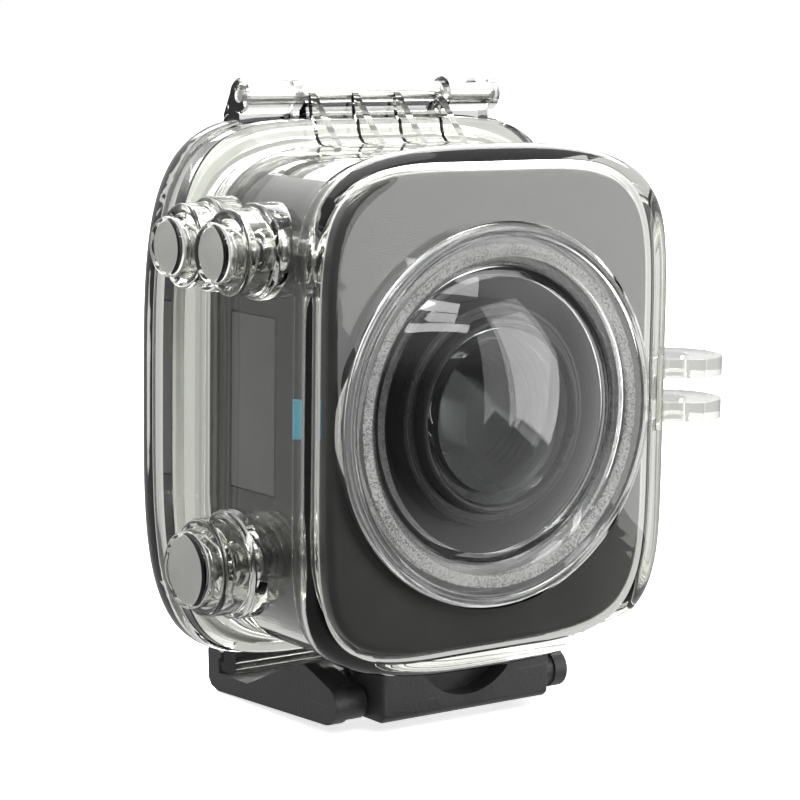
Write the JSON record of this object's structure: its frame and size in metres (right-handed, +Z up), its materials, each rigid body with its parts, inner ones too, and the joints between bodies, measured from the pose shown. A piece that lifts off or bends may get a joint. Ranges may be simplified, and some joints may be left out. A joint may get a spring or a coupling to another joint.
{
  "type": "action camera in waterproof housing",
  "caption": "Compact fisheye action camera in a clear waterproof housing with round lens port, side push buttons, hinged back door, lever latch and side mounting fingers.",
  "frame": {"origin": "centre of the bounding box's base", "axes": "+Z up, +X to the right as seen from the front, where the mounting fingers are, -Y out through the lens"},
  "size_m": [0.0856, 0.0484, 0.0887],
  "materials": {
    "battery_wrap": "satin wrap",
    "black_metal": "satin black anodised metal",
    "black_plastic": "fine textured black plastic",
    "black_rubber": "soft matte rubber",
    "blue_plastic": "satin blue plastic",
    "charcoal_plastic": "fine textured charcoal plastic",
    "circuit_board": "solder-masked board",
    "clear_polycarbonate": "polished clear plastic",
    "frosted_polycarbonate": "clear plastic with a fine frosted band",
    "grey_plastic": "fine satin grey plastic",
    "grey_silicone": "matte silicone",
    "lens_glass": "polished coated glass",
    "light_grey_plastic": "satin grey plastic",
    "steel": "bright stainless steel"
  },
  "bodies": {
    "housing": {"front_shell": "clear_polycarbonate", "mount_fingers": "clear_polycarbonate", "port_ring": "frosted_polycarbonate", "port_seal": "black_rubber", "port_window": "clear_polycarbonate", "hinge_pin": "steel", "latch_pin": "steel", "camera_front": "grey_plastic", "camera_body": "charcoal_plastic", "camera_rear": "charcoal_plastic", "side_panel_left": "light_grey_plastic", "side_panel_right": "light_grey_plastic", "accent_strip": "blue_plastic", "lens_surround": "black_plastic", "lens_barrel": "black_metal", "lens_trim": "black_metal", "lens_dome": "lens_glass", "lens_inner": "lens_glass", "lens_baffle": "black_plastic", "sensor_board": "circuit_board", "main_board": "circuit_board", "battery": "battery_wrap", "battery_door": "grey_plastic", "button_seal_top_front": "black_rubber", "button_spring_top_front": "steel", "button_clip_top_front": "steel", "button_seal_top_rear": "black_rubber", "button_spring_top_rear": "steel", "button_clip_top_rear": "steel", "button_seal_bottom": "black_rubber", "button_spring_bottom": "steel", "button_clip_bottom": "steel"},
    "door": {"back_door": "clear_polycarbonate", "door_gasket": "black_rubber", "rear_pad": "grey_silicone"},
    "lever": {"latch_lever": "black_plastic", "hook_pin_left": "steel", "hook_pin_right": "steel"},
    "hook": {"latch_hook": "black_plastic"},
    "button_top_front": {"button_cap_top_front": "clear_polycarbonate", "button_stem_top_front": "steel"},
    "button_top_rear": {"button_cap_top_rear": "clear_polycarbonate", "button_stem_top_rear": "steel"},
    "button_bottom": {"button_cap_bottom": "clear_polycarbonate", "button_stem_bottom": "steel"}
  },
  "joints": [
    {"name": "door_hinge", "type": "hinge", "parent": "housing", "child": "door", "pos_m": [-0.00465, 0.01415, 0.0862], "axis": [1, 0, 0], "range_deg": [0, 150]},
    {"name": "lever_pivot", "type": "hinge", "parent": "housing", "child": "lever", "pos_m": [-0.00465, -0.00325, 0.0076], "axis": [1, 0, 0], "range_deg": [0, 90]},
    {"name": "hook_pivot", "type": "hinge", "parent": "lever", "child": "hook", "pos_m": [-0.00465, -0.00585, 0.0039], "axis": [1, 0, 0], "range_deg": [-101, 0]},
    {"name": "button_top_front_press", "type": "slide", "parent": "housing", "child": "button_top_front", "axis": [1, 0, 0], "range_m": [0, 0.0012], "stiffness_N_per_m": 1800, "springref_m": -0.0008, "deforming": ["button_spring_top_front"]},
    {"name": "button_top_rear_press", "type": "slide", "parent": "housing", "child": "button_top_rear", "axis": [1, 0, 0], "range_m": [0, 0.0012], "stiffness_N_per_m": 1800, "springref_m": -0.0008, "deforming": ["button_spring_top_rear"]},
    {"name": "button_bottom_press", "type": "slide", "parent": "housing", "child": "button_bottom", "axis": [1, 0, 0], "range_m": [0, 0.0012], "stiffness_N_per_m": 1800, "springref_m": -0.0008, "deforming": ["button_spring_bottom"]}
  ],
  "couplings": [
    {"joint": "hook_pivot", "follows": "lever_pivot", "ratio": -1.12}
  ]
}
